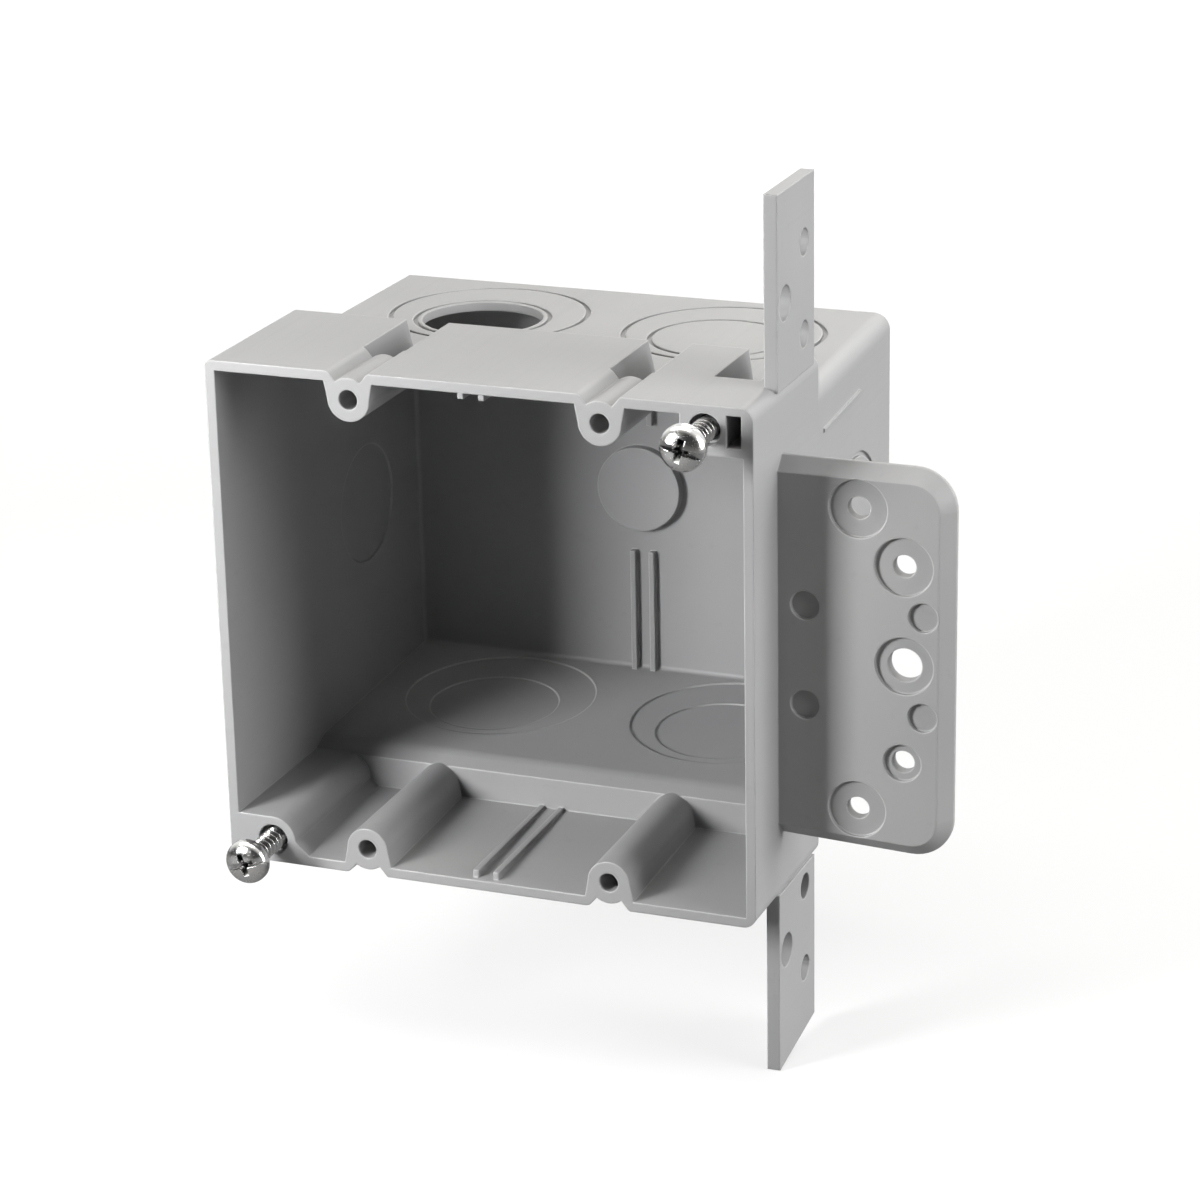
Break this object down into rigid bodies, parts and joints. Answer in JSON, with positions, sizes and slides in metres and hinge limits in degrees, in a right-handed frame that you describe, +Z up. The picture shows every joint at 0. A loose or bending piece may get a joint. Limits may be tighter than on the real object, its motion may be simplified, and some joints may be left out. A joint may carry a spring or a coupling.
{
  "type": "new work outlet box",
  "caption": "Open-fronted grey plastic wall box for wiring devices, with a nailing flange, a nail strip, knock-outs and cover screws standing in their corner blocks.",
  "frame": {"origin": "middle of the rectangle of device screw holes, in the plane of the front rim", "axes": "X to the right seen from the room, towards the nailing flange; Y into the box and the wall; Z up"},
  "size_m": [0.131, 0.0971, 0.159],
  "materials": {
    "grey_plastic": "moulded grey plastic, semi-matte, with faint mould marks",
    "zinc_plate": "bright zinc-plated steel"
  },
  "bodies": {
    "box": {"box_moulding": "grey_plastic"},
    "upper_screw": {"upper_cover_screw": "zinc_plate"},
    "lower_screw": {"lower_cover_screw": "zinc_plate"}
  },
  "joints": [
    {"name": "upper_screw_travel", "type": "slide", "parent": "box", "child": "upper_screw", "axis": [0, 1, 0], "range_m": [-0.012, 0.0096]},
    {"name": "lower_screw_travel", "type": "slide", "parent": "box", "child": "lower_screw", "axis": [0, 1, 0], "range_m": [-0.012, 0.0096]}
  ]
}
